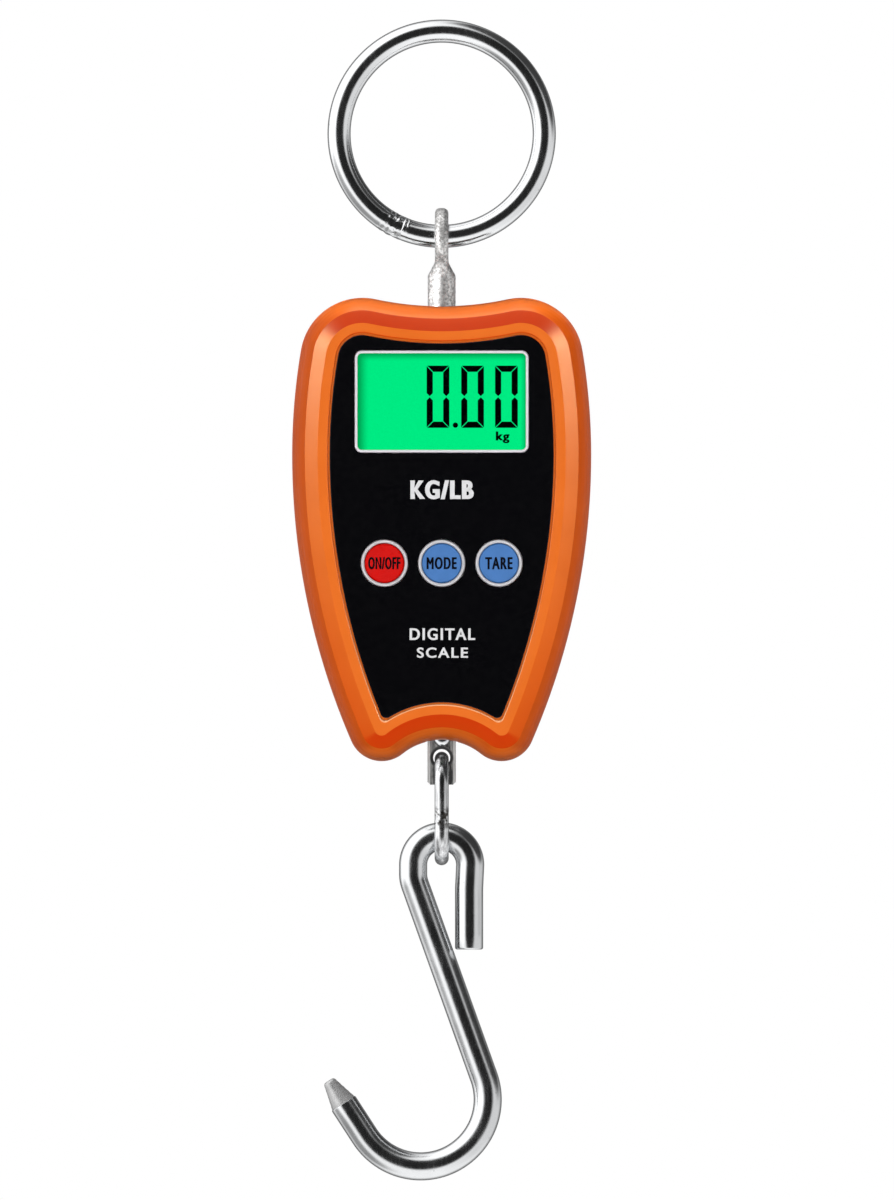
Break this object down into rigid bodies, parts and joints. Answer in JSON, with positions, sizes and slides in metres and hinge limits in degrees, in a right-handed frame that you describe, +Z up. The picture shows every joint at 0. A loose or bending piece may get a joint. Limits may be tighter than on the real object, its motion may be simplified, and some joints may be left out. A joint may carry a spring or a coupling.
{
  "type": "hanging scale",
  "caption": "Hanging digital scale: a ring and eye bolt over a bevelled plastic housing with a lit display and push buttons, a link and an S-hook below.",
  "frame": {"origin": "inner top of the hang ring, the point that the scale hangs from", "axes": "+Z up along the load path, -Y out of the display, +X to the right of a person reading the display"},
  "size_m": [0.0786, 0.0338, 0.3049],
  "materials": {
    "chrome": "polished plating",
    "cast_zinc": "rough cast, zinc plated",
    "steel": "zinc plated",
    "cell_steel": "dark machined steel",
    "gauge_film": "amber film",
    "orange_plastic": "moulded, satin",
    "black_panel": "satin overlay",
    "frame_white": "moulded",
    "clear_lens": "clear",
    "lcd_green": "backlit display",
    "diffuser": "frosted",
    "holder_plastic": "moulded",
    "zebra_rubber": "matte",
    "circuit_board": "solder mask",
    "chip_plastic": "matte",
    "red_cap": "satin",
    "blue_cap": "satin",
    "silver_rim": "bright trim",
    "tray_plastic": "moulded",
    "battery_wrap": "shrink wrap",
    "spring_steel": "nickel plated",
    "lead_red": "insulation",
    "lead_black": "insulation",
    "lead_white": "insulation"
  },
  "bodies": {
    "ring": {"hang_ring": "chrome"},
    "housing": {"eye_bolt": "cast_zinc", "eye_bolt_nut": "steel", "eye_bolt_washer": "steel", "load_cell": "cell_steel", "strain_gauge_upper": "gauge_film", "strain_gauge_lower": "gauge_film", "tab_rivet": "chrome", "front_shell": "orange_plastic", "rear_shell": "orange_plastic", "shell_screw_1": "steel", "shell_screw_2": "steel", "shell_screw_3": "steel", "shell_screw_4": "steel", "pcb_screw_1": "steel", "pcb_screw_2": "steel", "pcb_screw_3": "steel", "pcb_screw_4": "steel", "cell_screw_left": "steel", "cell_screw_right": "steel", "front_panel": "black_panel", "lcd_bezel": "frame_white", "lcd_window": "clear_lens", "lcd_glass": "lcd_green", "lcd_backlight": "diffuser", "lcd_holder": "holder_plastic", "zebra_strip_upper": "zebra_rubber", "zebra_strip_lower": "zebra_rubber", "main_pcb": "circuit_board", "mcu_chip": "chip_plastic", "capacitor": "chip_plastic", "crystal": "steel", "power_switch": "chip_plastic", "mode_switch": "chip_plastic", "tare_switch": "chip_plastic", "power_button_rim": "silver_rim", "mode_button_rim": "silver_rim", "tare_button_rim": "silver_rim", "battery_tray": "tray_plastic", "battery_left": "battery_wrap", "battery_right": "battery_wrap", "battery_contact_left": "spring_steel", "battery_contact_right": "spring_steel", "battery_contact_bridge": "spring_steel", "battery_spring_left": "spring_steel", "battery_spring_right": "spring_steel", "battery_lead_red": "lead_red", "battery_lead_black": "lead_black", "load_cell_cable": "lead_white"},
    "link": {"chain_link": "chrome"},
    "hook": {"s_hook": "chrome"},
    "door": {"battery_door": "orange_plastic"},
    "power_key": {"power_button": "red_cap", "power_switch_plunger": "chip_plastic"},
    "mode_key": {"mode_button": "blue_cap", "mode_switch_plunger": "chip_plastic"},
    "tare_key": {"tare_button": "blue_cap", "tare_switch_plunger": "chip_plastic"}
  },
  "joints": [
    {"name": "housing_swing", "type": "hinge", "parent": "ring", "child": "housing", "pos_m": [0, 0, -0.0504], "axis": [1, 0, 0], "range_deg": [-120, 120]},
    {"name": "link_swing", "type": "hinge", "parent": "housing", "child": "link", "pos_m": [0, 0, -0.1878], "axis": [0, 1, 0], "range_deg": [-45, 45]},
    {"name": "hook_swing", "type": "hinge", "parent": "link", "child": "hook", "pos_m": [0, 0, -0.2082], "axis": [1, 0, 0], "range_deg": [-100, 100]},
    {"name": "door_open", "type": "hinge", "parent": "housing", "child": "door", "pos_m": [0, 0.0181, -0.0834], "axis": [1, 0, 0], "range_deg": [0, 80]},
    {"name": "power_press", "type": "slide", "parent": "housing", "child": "power_key", "axis": [0, 1, 0], "range_m": [0, 0.0005], "stiffness_N_per_m": 2000},
    {"name": "mode_press", "type": "slide", "parent": "housing", "child": "mode_key", "axis": [0, 1, 0], "range_m": [0, 0.0005], "stiffness_N_per_m": 2000},
    {"name": "tare_press", "type": "slide", "parent": "housing", "child": "tare_key", "axis": [0, 1, 0], "range_m": [0, 0.0005], "stiffness_N_per_m": 2000}
  ]
}
